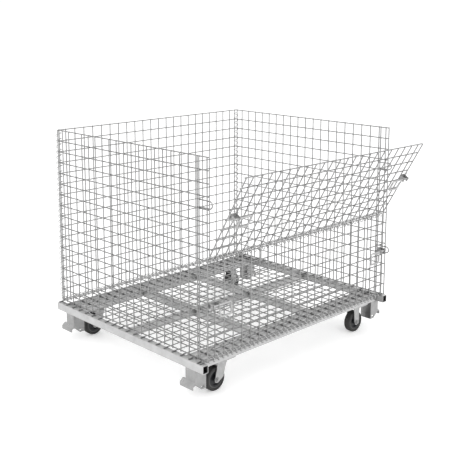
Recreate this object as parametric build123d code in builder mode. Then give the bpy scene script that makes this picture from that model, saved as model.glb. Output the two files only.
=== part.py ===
"""Foldable welded-wire storage container on four casters.

Everything is in millimetres with +Z up. X runs along the long front and back walls, Y from the
front (negative) to the back (positive). The origin is on the floor, midway between the two side
tubes and midway along them, so the casters stand at z = 0.
"""

import os
from math import cos, radians, sin

from build123d import *

# Overall sizes
base_length = 1200.0  # outside the two side tubes, along X
base_width = 1000.0  # length of the side tubes, along Y
mesh_pitch = 50.0  # wire spacing in every panel
mesh_rows = 16  # mesh openings from bottom to top of a side panel
half_rows = 8  # mesh openings in the lower front panel and in the gate
wire_diameter = 5.0  # welded mesh wire
layer_gap = 0.02  # two crossing wires touch, with this much left between the solids

wire_radius = wire_diameter / 2
layer_step = wire_diameter + layer_gap

# Heights above the floor
wheel_diameter = 100.0
tube_bottom = 135.0  # caster height
tube_height = 34.0
tube_width = 29.0
tube_wall = 2.5
tube_top = tube_bottom + tube_height
cross_wire_z = tube_top + layer_gap + wire_radius  # floor wires that run along X
long_wire_z = cross_wire_z - layer_step  # floor wires that run along Y, under the others
beam_top = long_wire_z - wire_radius - layer_gap
back_lift = 1.5 * wire_diameter  # from the floor's back edge wire up to the bottom wires of three walls
gate_lift = wire_diameter + 0.6  # between the two edge wires in the coil under the gate
back_panel_z = cross_wire_z + back_lift  # bottom wire of the back panel
side_panel_z = back_panel_z  # bottom wires of the side panels
lower_front_z = cross_wire_z + 0.5  # bottom wire of the lower front panel, beside the edge wire
mesh_height = mesh_rows * mesh_pitch
half_height = half_rows * mesh_pitch
lower_top_z = lower_front_z + half_height
gate_bottom_z = lower_top_z + gate_lift  # bottom wire of the gate when it is shut

# Where the panels stand
back_row_y = base_width / 2 - 5.0
back_upright_y = back_row_y + layer_step
front_row_y = -base_width / 2 + 16.5
front_upright_y = front_row_y - layer_step
side_row_x = base_length / 2 - 30.0
side_upright_x = side_row_x + layer_step
side_front_y = -base_width / 2

os.makedirs("parts", exist_ok=True)


def save(builder, label):
    """Names one sub-part and writes it to its own STEP file."""
    builder.part.label = label
    export_step(builder.part, "parts/" + label + ".step")


# ---------------------------------------------------------------------------------------------
# Base frame: two open-ended rectangular side tubes that run from front to back, two wide
# channels across the ends, one beam across the middle and four short beams between them.
# ---------------------------------------------------------------------------------------------
tube_centre_x = (base_length - tube_width) / 2
tube_inner_x = base_length / 2 - tube_width
tube_centre_z = tube_bottom + tube_height / 2

with BuildPart() as side_tubes:
    with BuildSketch(Plane.XZ.offset(-base_width / 2)):
        with Locations((-tube_centre_x, tube_centre_z), (tube_centre_x, tube_centre_z)):
            RectangleRounded(tube_width, tube_height, 3.0)
        with Locations((-tube_centre_x, tube_centre_z), (tube_centre_x, tube_centre_z)):
            Rectangle(tube_width - 2 * tube_wall, tube_height - 2 * tube_wall, mode=Mode.SUBTRACT)
    extrude(amount=base_width)
save(side_tubes, "side_tubes")

# The two end channels are open underneath, and the casters hang below them.
channel_width = 95.0
channel_wall = 3.0
channel_height = beam_top - tube_bottom
caster_front_y = -base_width / 2 + 90.0
caster_back_y = base_width / 2 - 78.0
fit_gap = 0.05  # between the ends of members that are welded together

with BuildPart() as end_channels:
    for channel_y in (caster_front_y, caster_back_y):
        with Locations((0, channel_y, beam_top - channel_height / 2)):
            Box(2 * (tube_inner_x - fit_gap), channel_width, channel_height)
        with Locations((0, channel_y, beam_top - channel_wall - channel_height / 2)):
            Box(
                2 * tube_inner_x + 1,
                channel_width - 2 * channel_wall,
                channel_height,
                mode=Mode.SUBTRACT,
            )
save(end_channels, "end_channels")

beam_width = 30.0
beam_wall = 2.0
middle_beam_y = 10.0
beam_centre_z = beam_top - channel_height / 2

with BuildPart() as middle_beam:
    with BuildSketch(Plane.YZ.offset(-tube_inner_x + fit_gap)):
        with Locations((middle_beam_y, beam_centre_z)):
            Rectangle(beam_width, channel_height)
            Rectangle(beam_width - 2 * beam_wall, channel_height - 2 * beam_wall, mode=Mode.SUBTRACT)
    extrude(amount=2 * (tube_inner_x - fit_gap))
save(middle_beam, "middle_beam")

short_beam_x = 175.0
front_channel_edge = caster_front_y + channel_width / 2
back_channel_edge = caster_back_y - channel_width / 2
spans = [
    (front_channel_edge + fit_gap, middle_beam_y - beam_width / 2 - fit_gap),
    (middle_beam_y + beam_width / 2 + fit_gap, back_channel_edge - fit_gap),
]

with BuildPart() as short_beams:
    for start_y, end_y in spans:
        with BuildSketch(Plane.XZ.offset(-start_y)):
            with Locations((-short_beam_x, beam_centre_z), (short_beam_x, beam_centre_z)):
                Rectangle(beam_width, channel_height)
            with Locations((-short_beam_x, beam_centre_z), (short_beam_x, beam_centre_z)):
                Rectangle(
                    beam_width - 2 * beam_wall, channel_height - 2 * beam_wall, mode=Mode.SUBTRACT
                )
        extrude(amount=-(end_y - start_y))
save(short_beams, "short_beams")

# ---------------------------------------------------------------------------------------------
# Floor mesh: wires along X lie on the side tubes and run almost to their outer edges. Wires
# along Y are welded under them and rest on the channels and beams. The first and last wires
# along X are the edge wires that the hinge coils turn around.
# ---------------------------------------------------------------------------------------------
cross_wire_reach = base_length / 2 - 6.0
first_cross_y = -base_width / 2 + 38.0
coil_room = 16.0  # kept clear of other wires beside an edge wire
cross_wire_count = int((back_row_y - coil_room - first_cross_y) / mesh_pitch) + 1
long_wire_steps = int((tube_inner_x - coil_room) / mesh_pitch)
cross_wire_ys = [first_cross_y + mesh_pitch * step for step in range(cross_wire_count)]
front_edge_y = front_row_y + 1.2 * wire_diameter
cross_wire_ys = [front_edge_y] + cross_wire_ys + [back_row_y]
long_wire_xs = [mesh_pitch * step for step in range(-long_wire_steps, long_wire_steps + 1)]
long_wire_start = front_edge_y - wire_radius
long_wire_end = back_row_y + wire_radius

with BuildPart() as floor_cross_wires:
    with Locations([(0, y, cross_wire_z) for y in cross_wire_ys]):
        Cylinder(wire_radius, 2 * cross_wire_reach, rotation=(0, 90, 0))
save(floor_cross_wires, "floor_cross_wires")

with BuildPart() as floor_long_wires:
    with Locations([(x, (long_wire_start + long_wire_end) / 2, long_wire_z) for x in long_wire_xs]):
        Cylinder(wire_radius, long_wire_end - long_wire_start, rotation=(90, 0, 0))
save(floor_long_wires, "floor_long_wires")

# ---------------------------------------------------------------------------------------------
# Stacking feet: pressed channels under the side tubes. The outer leg ends in a hooked lip that
# catches the rim of the container below, the web is cut down to a low inner corner with a slot
# in it, and the inner leg reaches lowest.
# ---------------------------------------------------------------------------------------------
foot_sheet = 4.0
foot_outer_x = base_length / 2 - 3.0
foot_inner_x = base_length / 2 - 60.0
foot_length = 58.0
foot_bottom = 49.0
foot_hook_z = 79.0
foot_hook_reach = 15.0
foot_hook_extra = 17.0  # the hook is this much longer than the wall it hangs from
foot_lip_drop = 18.0
foot_front_ys = (-base_width / 2 + 46.0, base_width / 2 - 125.0)
foot_gap = 0.05


def foot_solid(front_y):
    """The right-hand foot whose web stands at front_y."""
    with BuildPart() as foot:
        with BuildSketch(Plane.XZ.offset(-front_y)):
            with BuildLine():
                Polyline(
                    (foot_outer_x, tube_bottom - foot_gap),
                    (foot_outer_x, foot_hook_z - 3.0),
                    (foot_outer_x - 33.0, foot_bottom),
                    (foot_inner_x, foot_bottom),
                    (foot_inner_x, tube_bottom - foot_gap),
                    close=True,
                )
            make_face()
            with Locations((foot_inner_x + 17.0, foot_bottom + 12.0)):
                SlotOverall(20.0, 9.0, mode=Mode.SUBTRACT)
        extrude(amount=-foot_sheet)
        with BuildSketch(Plane.XZ.offset(-front_y)):
            with BuildLine():
                Polyline(
                    (foot_outer_x - foot_sheet, foot_hook_z + 8.0),
                    (foot_outer_x - foot_sheet, foot_hook_z - foot_sheet),
                    (foot_outer_x + foot_hook_reach - foot_sheet, foot_hook_z - foot_sheet - 4.0),
                    (foot_outer_x + foot_hook_reach - foot_sheet, foot_hook_z - foot_lip_drop - 2.0),
                    (foot_outer_x + foot_hook_reach, foot_hook_z - foot_lip_drop - 2.0),
                    (foot_outer_x + foot_hook_reach, foot_hook_z - 4.0),
                    (foot_outer_x, foot_hook_z + 8.0),
                    close=True,
                )
            make_face()
        extrude(amount=-(foot_length + foot_hook_extra))
        with Locations(
            (
                foot_outer_x - foot_sheet / 2,
                front_y + foot_length / 2,
                (foot_hook_z + tube_bottom - foot_gap) / 2,
            )
        ):
            Box(foot_sheet, foot_length, tube_bottom - foot_gap - foot_hook_z)
        with Locations(
            (
                foot_inner_x + foot_sheet / 2,
                front_y + foot_length / 2,
                (foot_bottom + tube_bottom - foot_gap) / 2,
            )
        ):
            Box(foot_sheet, foot_length, tube_bottom - foot_gap - foot_bottom)
    return foot.part


with BuildPart() as feet:
    for foot_y in foot_front_ys:
        right_foot = foot_solid(foot_y)
        add(right_foot)
        add(mirror(right_foot, about=Plane.YZ, mode=Mode.PRIVATE))
save(feet, "feet")

# ---------------------------------------------------------------------------------------------
# Casters: the two on the left swivel about a kingpin and trail behind it, the two on the right
# are rigid. Each has a pressed steel fork, a rubber tyre on a moulded core and a hexagon axle.
# ---------------------------------------------------------------------------------------------
wheel_radius = wheel_diameter / 2
hub_x = base_length / 2 - 141.0
trail = 29.0  # from the kingpin to the axle, along X
kingpin_x = -hub_x + trail
plate_length = 100.0
plate_thickness = 5.0
plate_bottom = tube_bottom - foot_gap - plate_thickness
raceway_radius = 31.0
raceway_height = 8.0
kingpin_radius = 6.0
running_gap = 0.05
turn_gap = 0.5
crown_top = plate_bottom - raceway_height - turn_gap
crown_height = 9.5
fork_sheet = 3.0
fork_half = 23.0  # from the middle of the wheel to the outside of a fork leg
axle_radius = 5.0
tyre_width = 32.0
tyre_inner_radius = 33.0
tyre_round = 6.0
core_width = 24.0
hub_radius = 12.0
hub_half = fork_half - fork_sheet - turn_gap

with BuildPart() as swivel_plates:
    for plate_y in (caster_front_y, caster_back_y):
        with Locations((kingpin_x, plate_y, plate_bottom + plate_thickness / 2)):
            Box(plate_length, channel_width, plate_thickness)
        with Locations((kingpin_x, plate_y, plate_bottom - raceway_height / 2)):
            Cylinder(raceway_radius, raceway_height)
        with Locations((kingpin_x, plate_y, plate_bottom - raceway_height)):
            Cylinder(kingpin_radius, 15.0, align=(Align.CENTER, Align.CENTER, Align.MAX))
        with Locations((kingpin_x, plate_y, crown_top - crown_height - turn_gap)):
            Cylinder(11.0, 4.0, align=(Align.CENTER, Align.CENTER, Align.MAX))
save(swivel_plates, "swivel_plates")


def fork_legs(axle_x, wheel_y, outline, leg_top):
    """Two fork legs cut to an outline given in X and Z from the axle, with the axle holes."""
    with BuildPart() as legs:
        for leg_y in (wheel_y - fork_half, wheel_y + fork_half - fork_sheet):
            with BuildSketch(Plane.XZ.offset(-leg_y)):
                with BuildLine():
                    Polyline(*[(axle_x + x, wheel_radius + z) for x, z in outline], close=True)
                make_face()
                with Locations((axle_x, wheel_radius)):
                    Circle(14.0)
                    Circle(axle_radius + running_gap, mode=Mode.SUBTRACT)
            extrude(amount=-fork_sheet)
    return legs.part


swivel_outline = [
    (trail - 24.0, crown_top - crown_height / 2 - wheel_radius),
    (trail + 24.0, crown_top - crown_height / 2 - wheel_radius),
    (34.0, 4.0),
    (8.0, -11.5),
    (-13.9, -1.0),
]


def swivel_fork(wheel_y):
    """The pressed fork of a swivel caster: a round crown, a bridge and two legs."""
    with BuildPart() as fork:
        with Locations((kingpin_x, wheel_y, crown_top - crown_height / 2)):
            Cylinder(raceway_radius + 2.0, crown_height)
        add(fork_legs(-hub_x, wheel_y, swivel_outline, crown_top))
        with Locations((kingpin_x, wheel_y, crown_top - crown_height + fork_sheet / 2)):
            Box(48.0, 2 * fork_half, fork_sheet)
        with Locations((kingpin_x, wheel_y, crown_top)):
            Cylinder(
                kingpin_radius + running_gap,
                4 * crown_height,
                mode=Mode.SUBTRACT,
            )
    return fork.part


with BuildPart() as swivel_fork_front:
    add(swivel_fork(caster_front_y))
save(swivel_fork_front, "swivel_fork_front")

with BuildPart() as swivel_fork_back:
    add(swivel_fork(caster_back_y))
save(swivel_fork_back, "swivel_fork_back")

rigid_outline = [
    (-20.0, plate_bottom - wheel_radius + 1.0),
    (20.0, plate_bottom - wheel_radius + 1.0),
    (17.0, 4.0),
    (13.0, -5.0),
    (-13.0, -5.0),
    (-17.0, 4.0),
]

with BuildPart() as rigid_forks:
    for fork_y in (caster_front_y, caster_back_y):
        with Locations((hub_x, fork_y, plate_bottom + plate_thickness / 2)):
            Box(plate_length, channel_width, plate_thickness)
        add(fork_legs(hub_x, fork_y, rigid_outline, plate_bottom))
save(rigid_forks, "rigid_forks")


def axle(axle_x, wheel_y):
    """A hexagon bolt through the fork and wheel, with its nut at the far side."""
    with BuildPart() as bolt:
        with Locations((axle_x, wheel_y, wheel_radius)):
            Cylinder(axle_radius, 2 * fork_half + 16.0, rotation=(90, 0, 0))
        with BuildSketch(Plane.XZ.offset(-(wheel_y - fork_half - 0.05))):
            with Locations((axle_x, wheel_radius)):
                RegularPolygon(9.0, 6)
        extrude(amount=5.5)
        with BuildSketch(Plane.XZ.offset(-(wheel_y + fork_half + 0.05))):
            with Locations((axle_x, wheel_radius)):
                RegularPolygon(9.0, 6)
        extrude(amount=-6.5)
    return bolt.part


with BuildPart() as swivel_axle_front:
    add(axle(-hub_x, caster_front_y))
save(swivel_axle_front, "swivel_axle_front")

with BuildPart() as swivel_axle_back:
    add(axle(-hub_x, caster_back_y))
save(swivel_axle_back, "swivel_axle_back")

with BuildPart() as rigid_axles:
    for axle_y in (caster_front_y, caster_back_y):
        add(axle(hub_x, axle_y))
save(rigid_axles, "rigid_axles")


def tyre(axle_x, wheel_y):
    """A solid rubber tyre with rounded shoulders and a shallow step down each side wall."""
    with BuildPart() as ring:
        with BuildSketch(Plane.XZ.offset(-(wheel_y - tyre_width / 2))):
            with Locations((axle_x, wheel_radius)):
                Circle(wheel_radius)
                Circle(tyre_inner_radius, mode=Mode.SUBTRACT)
        extrude(amount=-tyre_width)
        outer_edges = ring.edges().filter_by(GeomType.CIRCLE).sort_by(SortBy.RADIUS)[-2:]
        fillet(outer_edges, tyre_round)
        for side_y, direction in ((wheel_y - tyre_width / 2, -1), (wheel_y + tyre_width / 2, 1)):
            with BuildSketch(Plane.XZ.offset(-side_y)):
                with Locations((axle_x, wheel_radius)):
                    Circle(39.0)
                    Circle(tyre_inner_radius - 1.0, mode=Mode.SUBTRACT)
            extrude(amount=direction * 2.5, mode=Mode.SUBTRACT)
    return ring.part


def core(axle_x, wheel_y):
    """The moulded wheel centre: a disc with a rim and a long hub bored for the axle."""
    with BuildPart() as centre:
        with Locations((axle_x, wheel_y, wheel_radius)):
            Cylinder(tyre_inner_radius - 0.02, core_width, rotation=(90, 0, 0))
            Cylinder(tyre_inner_radius - 5.0, core_width + 2, rotation=(90, 0, 0), mode=Mode.SUBTRACT)
            Cylinder(tyre_inner_radius - 4.0, 10.0, rotation=(90, 0, 0))
            Cylinder(hub_radius, 2 * hub_half, rotation=(90, 0, 0))
            Cylinder(
                axle_radius + running_gap,
                3 * fork_half,
                rotation=(90, 0, 0),
                mode=Mode.SUBTRACT,
            )
    return centre.part


wheel_places = {
    "front_left": (-hub_x, caster_front_y),
    "back_left": (-hub_x, caster_back_y),
    "front_right": (hub_x, caster_front_y),
    "back_right": (hub_x, caster_back_y),
}
for place, (place_x, place_y) in wheel_places.items():
    with BuildPart() as wheel_tyre:
        add(tyre(place_x, place_y))
    save(wheel_tyre, "tyre_" + place)
    with BuildPart() as wheel_core:
        add(core(place_x, place_y))
    save(wheel_core, "wheel_core_" + place)

# ---------------------------------------------------------------------------------------------
# Back panel: upright wires outside, rows inside, with an edge wire at each end that stands in
# the corner coil beside the edge wire of a side panel.
# ---------------------------------------------------------------------------------------------
back_edge_x = base_length / 2 - 37.0
panel_wire_count = int((2 * back_edge_x - 20.0) / mesh_pitch)
front_first_x = -(panel_wire_count - 1) * mesh_pitch / 2
back_first_x = front_first_x - 2.0  # shifted a little so that the back coil passes both layers
back_upright_xs = [back_first_x + mesh_pitch * step for step in range(panel_wire_count)]
back_upright_xs = [-back_edge_x] + back_upright_xs + [back_edge_x]

with BuildPart() as back_uprights:
    with Locations([(x, back_upright_y, back_panel_z) for x in back_upright_xs]):
        Cylinder(
            wire_radius,
            mesh_height + wire_radius,
            align=(Align.CENTER, Align.CENTER, Align.MIN),
        )
save(back_uprights, "back_uprights")

with BuildPart() as back_rows:
    with Locations([(0, back_row_y, back_panel_z + mesh_pitch * row) for row in range(mesh_rows + 1)]):
        Cylinder(wire_radius, 2 * back_edge_x + wire_diameter, rotation=(0, 90, 0))
save(back_rows, "back_rows")

# ---------------------------------------------------------------------------------------------
# Side panels: mirror images, hinged to the back panel on their rear edge wires. Two upright
# wires stand close together near the front, and a bent wire keeper at each latch reaches
# forward of the front edge.
# ---------------------------------------------------------------------------------------------
side_hinge_y = base_width / 2 - 7.0
side_first_y = base_width / 2 - 45.0
side_wire_count = int((side_first_y - side_front_y - 40.0) / mesh_pitch) + 1
side_twin_step = 10.0
side_inner_edge_y = side_front_y + 17.0
keeper_wire = 5.0
keeper_half = 14.5
bolt_y = side_front_y - 8.5  # the bolts pass just in front of the side panels
keeper_bend_y = bolt_y
keeper_end_y = side_front_y + 53.0
lower_latch_z = lower_front_z + 227.0
gate_latch_z = lower_latch_z + half_height
keeper_zs = (lower_latch_z, gate_latch_z)

side_upright_ys = [side_first_y - mesh_pitch * step for step in range(side_wire_count)]
side_upright_ys = [side_hinge_y] + side_upright_ys
side_upright_ys = side_upright_ys + [side_upright_ys[-1] - side_twin_step, side_front_y]
side_row_start = side_front_y - wire_radius
side_row_end = side_hinge_y + wire_radius


def upright_set(x, ys):
    """The upright wires of a side panel that stands at x."""
    with BuildPart() as wires:
        with Locations([(x, y, side_panel_z + mesh_height / 2) for y in ys]):
            Cylinder(wire_radius, mesh_height + wire_diameter)
    return wires.part


def row_set(x):
    """The horizontal wires of a side panel, just inside its uprights."""
    middle_y = (side_row_start + side_row_end) / 2
    with BuildPart() as wires:
        with Locations([(x, middle_y, side_panel_z + mesh_pitch * row) for row in range(mesh_rows + 1)]):
            Cylinder(wire_radius, side_row_end - side_row_start, rotation=(90, 0, 0))
    return wires.part


def keeper_set(x):
    """The two U-shaped wire keepers that the latch bolts of the front slide into."""
    with BuildPart() as keepers:
        for keeper_z in keeper_zs:
            with BuildLine(Plane.YZ.offset(x)) as path:
                Line((keeper_end_y, keeper_z - keeper_half), (keeper_bend_y, keeper_z - keeper_half))
                ThreePointArc(
                    (keeper_bend_y, keeper_z - keeper_half),
                    (keeper_bend_y - keeper_half, keeper_z),
                    (keeper_bend_y, keeper_z + keeper_half),
                )
                Line((keeper_bend_y, keeper_z + keeper_half), (keeper_end_y, keeper_z + keeper_half))
            with BuildSketch(Plane(path.line @ 0, z_dir=path.line % 0)):
                Circle(keeper_wire / 2)
            sweep()
    return keepers.part


with BuildPart() as right_uprights:
    add(upright_set(side_upright_x, side_upright_ys + [side_inner_edge_y]))
save(right_uprights, "right_uprights")

with BuildPart() as right_rows:
    add(row_set(side_row_x))
save(right_rows, "right_rows")

with BuildPart() as right_keepers:
    add(keeper_set(side_row_x))
save(right_keepers, "right_keepers")

with BuildPart() as left_uprights:
    add(upright_set(-side_upright_x, side_upright_ys))
save(left_uprights, "left_uprights")

with BuildPart() as left_rows:
    add(row_set(-side_row_x))
save(left_rows, "left_rows")

with BuildPart() as left_keepers:
    add(keeper_set(-side_row_x))
save(left_keepers, "left_keepers")

# ---------------------------------------------------------------------------------------------
# Lower front panel and drop gate: two equal half-height panels, uprights outside and rows
# inside, that fit between the side panels. The gate is drawn shut and then turned outwards
# about its own bottom wire.
# ---------------------------------------------------------------------------------------------
front_edge_x = base_length / 2 - 38.0
gate_open_angle = 30.0
front_upright_xs = [front_first_x + mesh_pitch * step for step in range(panel_wire_count)]
front_upright_xs = [-front_edge_x] + front_upright_xs + [front_edge_x]
gate_axis = Axis((0, front_row_y - 7.0, lower_top_z + 4.0), (1, 0, 0))


def half_uprights(bottom_z, top_overhang):
    """The upright wires of a half-height front panel."""
    with BuildPart() as wires:
        with Locations([(x, front_upright_y, bottom_z) for x in front_upright_xs]):
            Cylinder(
                wire_radius,
                half_height + top_overhang,
                align=(Align.CENTER, Align.CENTER, Align.MIN),
            )
    return wires.part


def half_row_wires(bottom_z):
    """The horizontal wires of a half-height front panel."""
    with BuildPart() as wires:
        with Locations([(0, front_row_y, bottom_z + mesh_pitch * row) for row in range(half_rows + 1)]):
            Cylinder(wire_radius, 2 * front_edge_x + wire_diameter, rotation=(0, 90, 0))
    return wires.part


with BuildPart() as lower_uprights:
    add(half_uprights(lower_front_z, 0))
save(lower_uprights, "lower_uprights")

with BuildPart() as lower_rows:
    add(half_row_wires(lower_front_z))
save(lower_rows, "lower_rows")

with BuildPart() as gate_uprights:
    add(half_uprights(gate_bottom_z, wire_radius).rotate(gate_axis, gate_open_angle))
save(gate_uprights, "gate_uprights")

with BuildPart() as gate_rows:
    add(half_row_wires(gate_bottom_z).rotate(gate_axis, gate_open_angle))
save(gate_rows, "gate_rows")

# ---------------------------------------------------------------------------------------------
# Latches: a folded bracket welded across the last two uprights at each end of both front
# panels, and a rod bolt that slides through its two ears and is bent down into a handle loop.
# All four bolts are drawn back.
# ---------------------------------------------------------------------------------------------
bolt_radius = 4.0
bolt_tip_x = front_edge_x + 4.5
bolt_length = 112.0
handle_drop = 50.0
handle_width = 60.0
handle_rise = 32.0
bracket_sheet = 2.5
bracket_back_y = front_upright_y - wire_radius - layer_gap
bracket_inner_x = front_edge_x - 40.0
bracket_outer_x = front_edge_x + 3.0
bracket_half = 17.0
ear_half = 10.0
ear_front_y = bolt_y - 8.0
ear_xs = (front_edge_x - 36.5, front_edge_x - 7.5)


def bracket_solid(height_z):
    """The right-hand bracket whose ears carry a bolt at height_z."""
    with BuildPart() as bracket:
        with Locations(
            (
                (bracket_inner_x + bracket_outer_x) / 2,
                bracket_back_y - bracket_sheet / 2,
                height_z,
            )
        ):
            Box(bracket_outer_x - bracket_inner_x, bracket_sheet, 2 * bracket_half)
        with Locations([(x, (bracket_back_y + ear_front_y) / 2, height_z) for x in ear_xs]):
            Box(bracket_sheet, bracket_back_y - ear_front_y, 2 * ear_half)
        with Locations((front_edge_x, bolt_y, height_z)):
            Cylinder(
                bolt_radius + running_gap,
                3 * bracket_half * 2,
                rotation=(0, 90, 0),
                mode=Mode.SUBTRACT,
            )
    return bracket.part


def bolt_solid(height_z):
    """The right-hand bolt: one rod bent twice to a handle loop and back up."""
    inner_x = bolt_tip_x - bolt_length
    corners = [
        (bolt_tip_x, height_z),
        (inner_x, height_z),
        (inner_x, height_z - handle_drop),
        (inner_x + handle_width, height_z - handle_drop),
        (inner_x + handle_width, height_z - handle_drop + handle_rise),
    ]
    with BuildPart() as rod:
        with BuildLine(Plane.XZ.offset(-bolt_y)) as path:
            FilletPolyline(*corners, radius=8.0)
        with BuildSketch(Plane(path.line @ 0, z_dir=path.line % 0)):
            Circle(bolt_radius)
        sweep()
    return rod.part


with BuildPart() as lower_brackets:
    lower_bracket = bracket_solid(lower_latch_z)
    add(lower_bracket)
    add(mirror(lower_bracket, about=Plane.YZ, mode=Mode.PRIVATE))
save(lower_brackets, "lower_brackets")

with BuildPart() as gate_brackets:
    gate_bracket = bracket_solid(gate_latch_z).rotate(gate_axis, gate_open_angle)
    add(gate_bracket)
    add(mirror(gate_bracket, about=Plane.YZ, mode=Mode.PRIVATE))
save(gate_brackets, "gate_brackets")

with BuildPart() as lower_bolt_right:
    add(bolt_solid(lower_latch_z))
save(lower_bolt_right, "lower_bolt_right")

with BuildPart() as lower_bolt_left:
    add(mirror(lower_bolt_right.part, about=Plane.YZ, mode=Mode.PRIVATE))
save(lower_bolt_left, "lower_bolt_left")

with BuildPart() as gate_bolt_right:
    add(bolt_solid(gate_latch_z).rotate(gate_axis, gate_open_angle))
save(gate_bolt_right, "gate_bolt_right")

with BuildPart() as gate_bolt_left:
    add(mirror(gate_bolt_right.part, about=Plane.YZ, mode=Mode.PRIVATE))
save(gate_bolt_left, "gate_bolt_left")

# ---------------------------------------------------------------------------------------------
# Hinge coils: long open springs wound round two neighbouring edge wires, two turns to each mesh
# opening. Each is phased so that the wires leaving both panels pass between its turns.
# ---------------------------------------------------------------------------------------------
coil_wire_radius = 1.6
coil_radius = 2.48 * wire_diameter
coil_pitch = mesh_pitch / 2
long_coil_turns = int((2 * front_edge_x - 20.0) / coil_pitch)
upright_coil_turns = mesh_height / coil_pitch - 0.5


def hinge_coil(plane, turns, start, crossing):
    """A coil along the plane's z axis from start. Seen along that axis, it passes the plane's x
    direction at crossing."""
    start_angle = (start - crossing) * 360 / coil_pitch
    start_point = Vector(
        coil_radius * cos(radians(start_angle)), coil_radius * sin(radians(start_angle)), start
    )
    with BuildPart() as coil:
        with BuildLine() as path:
            Helix(coil_pitch, turns * coil_pitch, coil_radius)
        with BuildSketch(Plane(path.line @ 0, z_dir=path.line % 0)):
            Circle(coil_wire_radius)
        sweep(is_frenet=True)
    turned = coil.part.rotate(Axis.Z, start_angle).moved(Location((0, 0, start)))
    return plane.location * turned


front_coil_plane = Plane(
    (0, front_row_y + 3.3, lower_front_z + 2.0), x_dir=(0, 1, 0), z_dir=(1, 0, 0)
)
back_coil_plane = Plane(
    (0, back_row_y + 2.5, back_panel_z - 4.2), x_dir=(0, 1, 0), z_dir=(1, 0, 0)
)
gate_coil_plane = Plane(
    (0, front_row_y - 6.5, lower_top_z + 4.0), x_dir=(0, 1, 0), z_dir=(1, 0, 0)
)
corner_coil_plane = Plane(
    ((back_edge_x + side_upright_x) / 2, (back_upright_y + side_hinge_y) / 2, 0),
    x_dir=(1, 0, 0),
    z_dir=(0, 0, 1),
)
long_coil_start = -long_coil_turns * coil_pitch / 2
front_coil_crossing = 0.33 * coil_pitch
gate_coil_crossing = 0.02 * coil_pitch
back_coil_crossing = 0.156 * coil_pitch
corner_coil_start = side_panel_z + 2.0
corner_coil_crossing = side_panel_z - 0.15 * coil_pitch

with BuildPart() as front_floor_coil:
    add(hinge_coil(front_coil_plane, long_coil_turns, long_coil_start, front_coil_crossing))
save(front_floor_coil, "front_floor_coil")

with BuildPart() as back_floor_coil:
    add(hinge_coil(back_coil_plane, long_coil_turns, long_coil_start, back_coil_crossing))
save(back_floor_coil, "back_floor_coil")

with BuildPart() as gate_coil:
    add(hinge_coil(gate_coil_plane, long_coil_turns, long_coil_start, gate_coil_crossing))
save(gate_coil, "gate_coil")

with BuildPart() as right_corner_coil:
    add(hinge_coil(corner_coil_plane, upright_coil_turns, corner_coil_start, corner_coil_crossing))
save(right_corner_coil, "right_corner_coil")

with BuildPart() as left_corner_coil:
    add(mirror(right_corner_coil.part, about=Plane.YZ, mode=Mode.PRIVATE))
save(left_corner_coil, "left_corner_coil")
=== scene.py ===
from math import radians

import bpy
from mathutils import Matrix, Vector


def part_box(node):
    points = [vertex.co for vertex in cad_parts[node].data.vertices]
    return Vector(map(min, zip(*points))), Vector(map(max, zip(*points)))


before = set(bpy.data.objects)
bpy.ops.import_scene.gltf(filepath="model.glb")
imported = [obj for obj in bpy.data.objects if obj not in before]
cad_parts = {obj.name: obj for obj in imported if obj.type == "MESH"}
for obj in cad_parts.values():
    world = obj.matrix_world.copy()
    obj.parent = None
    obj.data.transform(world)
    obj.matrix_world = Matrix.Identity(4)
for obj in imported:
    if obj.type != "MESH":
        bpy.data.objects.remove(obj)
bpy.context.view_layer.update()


# Base frame: side tubes, end channels and beams of rolled steel, welded together and then
# plated with bright zinc. The plating is smooth, with faint cloudy patches where the bath left
# it, and shade is painted dark into its colour in corners and inside the tubes.
def linear(colour):
    """Turns an sRGB hex colour into the linear values a shader takes."""
    parts = [int(colour[i : i + 2], 16) / 255 for i in (1, 3, 5)]
    parts = [p / 12.92 if p <= 0.04045 else ((p + 0.055) / 1.055) ** 2.4 for p in parts]
    return (*parts, 1.0)


def add_node(tree, kind, settings=None, inputs=None):
    """Adds a shader node, sets its properties and values, and links any sockets given."""
    node = tree.nodes.new(kind)
    for name, value in (settings or {}).items():
        setattr(node, name, value)
    for name, value in (inputs or {}).items():
        if isinstance(value, bpy.types.NodeSocket):
            tree.links.new(value, node.inputs[name])
        else:
            node.inputs[name].default_value = value
    return node


def new_material(name):
    """An empty material with a Principled shader, its tree and the object's coordinates."""
    material = bpy.data.materials.new(name)
    material.use_nodes = True
    tree = material.node_tree
    shader = tree.nodes["Principled BSDF"]
    place = add_node(tree, "ShaderNodeTexCoord").outputs["Object"]
    return material, tree, shader, place


# A Mix node of type RGBA has several sockets called A, B and Result, so its colour ones go by
# number.
MIX_A, MIX_B, MIX_RESULT = 6, 7, 2
corner_reach_mm = 40
plating_metallic = 0.9


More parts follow.
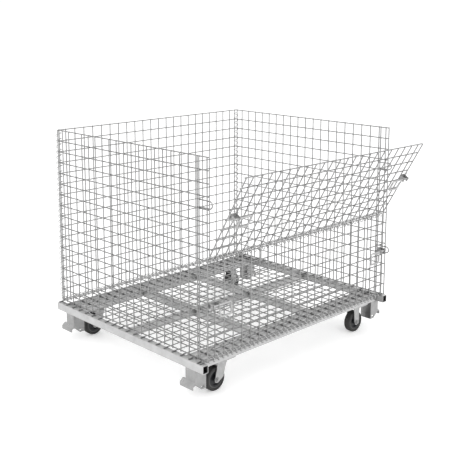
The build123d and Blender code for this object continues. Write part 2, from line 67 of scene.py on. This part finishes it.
def zinc(name, light, dark, patch_mm, smooth, rough, grain_mm, bump_mm, painted_shade_keep):
    """Zinc-plated steel: cloudy patches over a fine grain, with shade painted into corners.

    The last argument is the share of its brightness that the colour keeps in the deepest painted
    shade.
    """
    material, tree, shader, place = new_material(name)
    patches = add_node(
        tree,
        "ShaderNodeTexNoise",
        inputs={"Vector": place, "Scale": 1000 / patch_mm, "Detail": 5.0, "Roughness": 0.6},
    )
    grain = add_node(
        tree,
        "ShaderNodeTexNoise",
        inputs={"Vector": place, "Scale": 1000 / grain_mm, "Detail": 3.0, "Roughness": 0.5},
    )
    colour = add_node(
        tree,
        "ShaderNodeMix",
        {"data_type": "RGBA"},
        {"Factor": patches.outputs["Fac"], MIX_A: linear(dark), MIX_B: linear(light)},
    )
    # Painted shade: an ambient occlusion node darkens the colour in corners and recesses.
    reach = add_node(
        tree,
        "ShaderNodeAmbientOcclusion",
        {"samples": 8},
        {"Distance": corner_reach_mm / 1000},
    )
    painted_corner_shade = add_node(
        tree,
        "ShaderNodeMapRange",
        inputs={
            "Value": reach.outputs["AO"],
            "From Min": 0.15,
            "From Max": 0.8,
            "To Min": painted_shade_keep,
        },
    )
    shaded = add_node(
        tree,
        "ShaderNodeMix",
        {"data_type": "RGBA", "blend_type": "MULTIPLY"},
        {"Factor": 1.0, MIX_A: colour.outputs[MIX_RESULT], MIX_B: painted_corner_shade.outputs["Result"]},
    )
    gloss = add_node(
        tree,
        "ShaderNodeMapRange",
        inputs={
            "Value": patches.outputs["Fac"],
            "From Min": 0.3,
            "From Max": 0.7,
            "To Min": rough,
            "To Max": smooth,
        },
    )
    bump = add_node(
        tree,
        "ShaderNodeBump",
        inputs={"Height": grain.outputs["Fac"], "Distance": bump_mm / 1000, "Strength": 0.4},
    )
    tree.links.new(shaded.outputs[MIX_RESULT], shader.inputs["Base Color"])
    tree.links.new(gloss.outputs["Result"], shader.inputs["Roughness"])
    tree.links.new(bump.outputs["Normal"], shader.inputs["Normal"])
    shader.inputs["Metallic"].default_value = plating_metallic
    return material


def dress(names, material):
    """Gives the named pieces one material."""
    for name in names:
        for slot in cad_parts[name].material_slots:
            slot.material = material


plated_frame = zinc(
    "zinc plated tube",
    light="#dddddd",
    dark="#b6b6b6",
    patch_mm=45,
    smooth=0.3,
    rough=0.45,
    grain_mm=1.2,
    bump_mm=0.05,
    painted_shade_keep=0.06,
)
dress(["side_tubes", "end_channels", "middle_beam", "short_beams"], plated_frame)

# Stacking feet: pressed from steel sheet, hooked along the outer lip and welded under the
# frame. They are plated like the tubes, but their colour is set greyer, and they are a little
# glossier.
plated_foot = zinc(
    "zinc plated foot",
    light="#bcbcbc",
    dark="#959595",
    patch_mm=35,
    smooth=0.25,
    rough=0.4,
    grain_mm=1.0,
    bump_mm=0.05,
    painted_shade_keep=0.06,
)
dress(["feet"], plated_foot)

# Mesh: drawn steel wire, cut straight, spot welded where it crosses and then zinc plated. The
# wire is a little greyer than the tubes, with small cloudy marks along its length. The keepers
# for the bolts are bent from the same wire.
plated_wire = zinc(
    "zinc plated wire",
    light="#b1b1b1",
    dark="#838383",
    patch_mm=28,
    smooth=0.28,
    rough=0.45,
    grain_mm=0.8,
    bump_mm=0.03,
    painted_shade_keep=0.92,
)
for panel in ("back", "left", "right", "lower", "gate"):
    dress([panel + "_uprights", panel + "_rows"], plated_wire)
dress(["floor_cross_wires", "floor_long_wires", "left_keepers", "right_keepers"], plated_wire)

# Hinge coils: hard-drawn spring wire, wound into long open coils that are threaded round the
# edge wires of two panels. Plated after winding, they are bright outside, with shade painted
# darker within.
spring_wire = zinc(
    "zinc plated spring wire",
    light="#dadada",
    dark="#a8a8a8",
    patch_mm=18,
    smooth=0.2,
    rough=0.36,
    grain_mm=0.6,
    bump_mm=0.02,
    painted_shade_keep=0.6,
)
dress([edge + "_coil" for edge in ("front_floor", "back_floor", "gate")], spring_wire)
dress([side + "_corner_coil" for side in ("left", "right")], spring_wire)

# Latches: rod bolts with a bent handle loop, sliding in brackets folded from sheet. Both are
# steel, tumbled and plated in a barrel, which leaves them evenly grey with a soft shine.
plated_latch = zinc(
    "zinc plated latch",
    light="#d2d2d2",
    dark="#a6a6a6",
    patch_mm=15,
    smooth=0.28,
    rough=0.45,
    grain_mm=0.7,
    bump_mm=0.03,
    painted_shade_keep=0.6,
)
for panel in ("lower", "gate"):
    dress([panel + "_brackets", panel + "_bolt_left", panel + "_bolt_right"], plated_latch)

# Casters: pressed steel forks and top plates, with a bolt and nut for each axle. Their plating
# is thinner and duller than the frame's.
plated_caster = zinc(
    "zinc plated caster steel",
    light="#cfcfcf",
    dark="#a0a0a0",
    patch_mm=20,
    smooth=0.35,
    rough=0.55,
    grain_mm=0.8,
    bump_mm=0.05,
    painted_shade_keep=0.3,
)
dress(["swivel_plates", "rigid_forks", "rigid_axles"], plated_caster)
for end in ("front", "back"):
    dress(["swivel_fork_" + end, "swivel_axle_" + end], plated_caster)

# Tyres: solid black rubber, moulded in one piece and pressed on to the wheel centre. The skin
# is fine and matt and dusty from the floor, and a ring is painted paler on the side face. The
# ring is colour alone, and the face under it is smooth.
dust_mm, skin_mm = 18, 1.1
pit_depth_mm = 0.15
rubber, tree, shader, place = new_material("moulded black rubber")
dust = add_node(
    tree, "ShaderNodeTexNoise", inputs={"Vector": place, "Scale": 1000 / dust_mm, "Detail": 6.0}
)
skin = add_node(
    tree, "ShaderNodeTexNoise", inputs={"Vector": place, "Scale": 1000 / skin_mm, "Detail": 2.0}
)
tint = add_node(
    tree,
    "ShaderNodeMix",
    {"data_type": "RGBA"},
    {"Factor": dust.outputs["Fac"], MIX_A: linear("#1e1e1e"), MIX_B: linear("#3b3a39")},
)
pitting = add_node(
    tree,
    "ShaderNodeBump",
    inputs={"Height": skin.outputs["Fac"], "Distance": pit_depth_mm / 1000, "Strength": 0.5},
)

# The ring's place is the distance from the hub as a share of the tyre's radius. The wheels
# stand equally far to the left and to the right, so one hub_x serves all four.
low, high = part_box("tyre_front_left")
tyre_radius = (high[2] - low[2]) / 2
hub_x, hub_z = abs(low[0] + high[0]) / 2, (low[2] + high[2]) / 2
split = add_node(tree, "ShaderNodeSeparateXYZ", inputs={"Vector": place})
side_x = add_node(tree, "ShaderNodeMath", {"operation": "ABSOLUTE"}, {0: split.outputs["X"]})
across = add_node(
    tree, "ShaderNodeMath", {"operation": "SUBTRACT"}, {0: side_x.outputs[0], 1: hub_x}
)
above = add_node(
    tree, "ShaderNodeMath", {"operation": "SUBTRACT"}, {0: split.outputs["Z"], 1: hub_z}
)
arm = add_node(
    tree, "ShaderNodeCombineXYZ", inputs={"X": across.outputs[0], "Z": above.outputs[0]}
)
radius = add_node(tree, "ShaderNodeVectorMath", {"operation": "LENGTH"}, {0: arm.outputs[0]})
share = add_node(
    tree,
    "ShaderNodeMath",
    {"operation": "DIVIDE"},
    {0: radius.outputs["Value"], 1: tyre_radius},
)
ring = add_node(tree, "ShaderNodeValToRGB", inputs={"Fac": share.outputs[0]})
ring.color_ramp.elements[-1].color = (0.0, 0.0, 0.0, 1.0)
for at, ring_paleness in ((0.66, 0.0), (0.68, 1.0), (0.74, 1.0), (0.76, 0.1), (0.92, 0.0)):
    stop = ring.color_ramp.elements.new(at)
    stop.color = (ring_paleness, ring_paleness, ring_paleness, 1.0)
ringed = add_node(
    tree,
    "ShaderNodeMix",
    {"data_type": "RGBA"},
    {
        "Factor": ring.outputs["Color"],
        MIX_A: tint.outputs[MIX_RESULT],
        MIX_B: linear("#565656"),
    },
)
tree.links.new(ringed.outputs[MIX_RESULT], shader.inputs["Base Color"])
tree.links.new(pitting.outputs["Normal"], shader.inputs["Normal"])
shader.inputs["Roughness"].default_value = 0.62
corners = ("front_left", "back_left", "front_right", "back_right")
dress(["tyre_" + corner for corner in corners], rubber)

# Wheel centres: moulded black plastic, turning on the axle bolt. The moulding is smoother than
# the tyres and slightly greyer, with faint cloudy marks where the plastic flowed.
flow_mm = 8
moulding, tree, shader, place = new_material("moulded black plastic")
flow = add_node(
    tree, "ShaderNodeTexNoise", inputs={"Vector": place, "Scale": 1000 / flow_mm, "Detail": 4.0}
)
tint = add_node(
    tree,
    "ShaderNodeMix",
    {"data_type": "RGBA"},
    {"Factor": flow.outputs["Fac"], MIX_A: linear("#1c1d1f"), MIX_B: linear("#35363a")},
)
gloss = add_node(
    tree,
    "ShaderNodeMapRange",
    inputs={"Value": flow.outputs["Fac"], "To Min": 0.32, "To Max": 0.5},
)
tree.links.new(tint.outputs[MIX_RESULT], shader.inputs["Base Color"])
tree.links.new(gloss.outputs["Result"], shader.inputs["Roughness"])
dress(["wheel_core_" + corner for corner in corners], moulding)

# Studio floor: plain matt white paper, very slightly mottled. It glows a little to the camera
# alone, which keeps the container's shadow on it faint and lights nothing else.
mottle_mm = 330
glow = 0.3
bpy.ops.mesh.primitive_plane_add(size=40)
floor = bpy.context.object
floor.name = "studio_floor"
paper, tree, shader, place = new_material("matt white studio floor")
mottle = add_node(
    tree, "ShaderNodeTexNoise", inputs={"Vector": place, "Scale": 1000 / mottle_mm, "Detail": 4.0}
)
tint = add_node(
    tree,
    "ShaderNodeMix",
    {"data_type": "RGBA"},
    {"Factor": mottle.outputs["Fac"], MIX_A: linear("#f6f6f6"), MIX_B: linear("#fbfbfb")},
)
tree.links.new(tint.outputs[MIX_RESULT], shader.inputs["Base Color"])
tree.links.new(tint.outputs[MIX_RESULT], shader.inputs["Emission Color"])
seen = add_node(tree, "ShaderNodeLightPath")
lift = add_node(
    tree,
    "ShaderNodeMath",
    {"operation": "MULTIPLY"},
    {0: seen.outputs["Is Camera Ray"], 1: glow},
)
tree.links.new(lift.outputs[0], shader.inputs["Emission Strength"])
shader.inputs["Roughness"].default_value = 0.8
floor.data.materials.append(paper)

# Light: even white light from all round, with one softbox high on the left and a weaker one in
# front, both turned towards the container.
world = bpy.data.worlds.new("studio")
bpy.context.scene.world = world
world.use_nodes = True
background = world.node_tree.nodes["Background"]
background.inputs["Color"].default_value = linear("#ffffff")
background.inputs["Strength"].default_value = 1.05


def softbox(name, where, turn, size, power):
    """A square area light at a place in metres, turned by angles in degrees."""
    lamp = bpy.data.lights.new(name, "AREA")
    lamp.size = size
    lamp.energy = power
    holder = bpy.data.objects.new(name, lamp)
    holder.location = where
    holder.rotation_euler = [radians(angle) for angle in turn]
    bpy.context.collection.objects.link(holder)


softbox("key", where=(-3.2, -1.5, 2.6), turn=(60, 0, -65), size=2.0, power=40)
softbox("fill", where=(1.0, -4.0, 2.0), turn=(65, 0, 15), size=2.5, power=25)

bpy.context.scene.view_settings.view_transform = "Standard"

# Camera: stands off the front left corner, above the top of the walls and turned slightly
# down. Its lens is shifted sideways and down, and everything is in focus.
camera = bpy.data.objects.new("camera", bpy.data.cameras.new("camera"))
bpy.context.collection.objects.link(camera)
bpy.context.scene.camera = camera
camera.location = (-2.655, -2.735, 1.514)
camera.rotation_euler = (radians(80.42), 0, radians(-43.8))
camera.data.lens = 65.79
camera.data.sensor_width = 36.0
camera.data.shift_x = 0.023
camera.data.shift_y = -0.1689
camera.data.dof.use_dof = False
